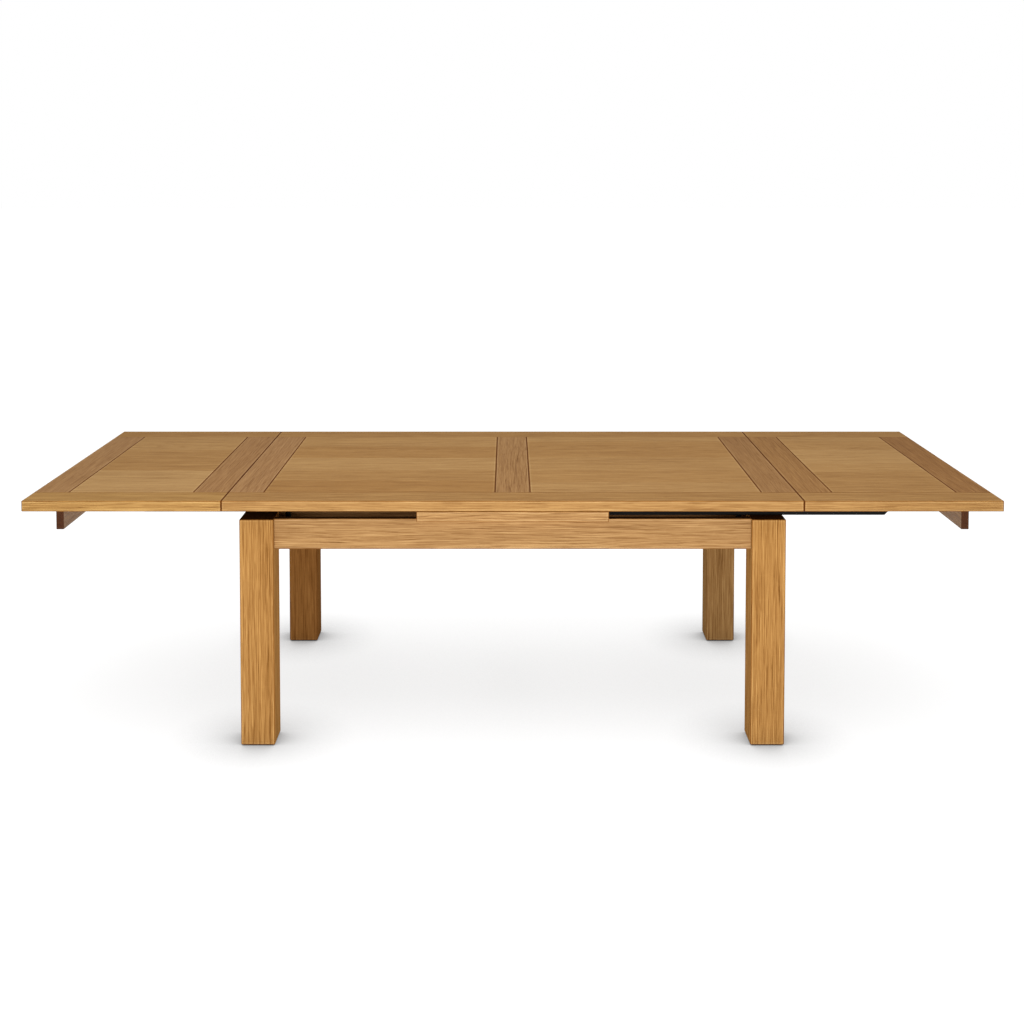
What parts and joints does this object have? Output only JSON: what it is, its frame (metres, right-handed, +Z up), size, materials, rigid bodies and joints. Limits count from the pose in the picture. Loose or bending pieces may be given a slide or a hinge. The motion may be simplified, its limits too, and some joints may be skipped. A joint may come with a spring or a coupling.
{
  "type": "extendable dining table",
  "caption": "Draw-leaf dining table on square legs: a loose main top on a fixed centre board, and a leaf on black bars drawn out level at each end.",
  "frame": {"origin": "on the floor under the middle of the table", "axes": "+X along the length, towards the right leaf; -Y towards the front; +Z up"},
  "size_m": [3, 1.1, 0.775],
  "materials": {
    "oak_face": "honey-stained oak, satin varnish, grain along the table",
    "oak_panel": "honey-stained oak planks, satin varnish",
    "oak_strip": "honey-stained oak, satin varnish, grain across the table",
    "oak_frame": "honey-stained oak, satin varnish",
    "oak_inner": "plain sawn oak, hardly varnished",
    "black_bar": "hardwood stained black, waxed; the bars and their stop pegs",
    "beech_peg": "bare turned beech",
    "zinc": "zinc-plated steel",
    "glide_felt": "dark pressed felt"
  },
  "bodies": {
    "frame": {"centre_board_front": "oak_frame", "centre_board_middle": "oak_frame", "centre_board_rear": "oak_frame", "corner_block_front_left": "oak_inner", "corner_block_front_right": "oak_inner", "corner_block_rear_left": "oak_inner", "corner_block_rear_right": "oak_inner", "corner_bolt_front_left": "zinc", "corner_bolt_front_right": "zinc", "corner_bolt_rear_left": "zinc", "corner_bolt_rear_right": "zinc", "cross_bearer_left": "oak_inner", "cross_bearer_right": "oak_inner", "end_rail_left": "oak_inner", "end_rail_right": "oak_inner", "foot_glide_front_left": "glide_felt", "foot_glide_front_right": "glide_felt", "foot_glide_rear_left": "glide_felt", "foot_glide_rear_right": "glide_felt", "front_apron": "oak_frame", "leg_front_left": "oak_frame", "leg_front_right": "oak_frame", "leg_rear_left": "oak_frame", "leg_rear_right": "oak_frame", "rear_apron": "oak_frame", "slide_guide_front_left": "oak_inner", "slide_guide_front_right": "oak_inner", "slide_guide_rear_left": "oak_inner", "slide_guide_rear_right": "oak_inner"},
    "main_top": {"guide_peg_front": "beech_peg", "guide_peg_rear": "beech_peg", "main_panel_left": "oak_panel", "main_panel_right": "oak_panel", "main_rail_front": "oak_face", "main_rail_rear": "oak_face", "main_strip_centre": "oak_strip", "main_strip_left": "oak_strip", "main_strip_right": "oak_strip"},
    "left_leaf": {"leaf_bar_front_left": "black_bar", "leaf_bar_rear_left": "black_bar", "leaf_left_end_board": "oak_frame", "leaf_left_panel": "oak_panel", "leaf_left_rail_front": "oak_face", "leaf_left_rail_rear": "oak_face", "leaf_left_strip_inner": "oak_strip", "leaf_left_strip_outer": "oak_strip", "stop_peg_front_left": "black_bar", "stop_peg_rear_left": "black_bar"},
    "right_leaf": {"leaf_bar_front_right": "black_bar", "leaf_bar_rear_right": "black_bar", "leaf_right_end_board": "oak_frame", "leaf_right_panel": "oak_panel", "leaf_right_rail_front": "oak_face", "leaf_right_rail_rear": "oak_face", "leaf_right_strip_inner": "oak_strip", "leaf_right_strip_outer": "oak_strip", "stop_peg_front_right": "black_bar", "stop_peg_rear_right": "black_bar"}
  },
  "joints": [
    {"name": "main_top_lift", "type": "slide", "parent": "frame", "child": "main_top", "axis": [0, 0, 1], "range_m": [0, 0.045]},
    {"name": "left_leaf_slide", "type": "slide", "parent": "frame", "child": "left_leaf", "axis": [-1, 0, 0], "range_m": [0, 0.02]},
    {"name": "right_leaf_slide", "type": "slide", "parent": "frame", "child": "right_leaf", "axis": [1, 0, 0], "range_m": [0, 0.02]}
  ]
}
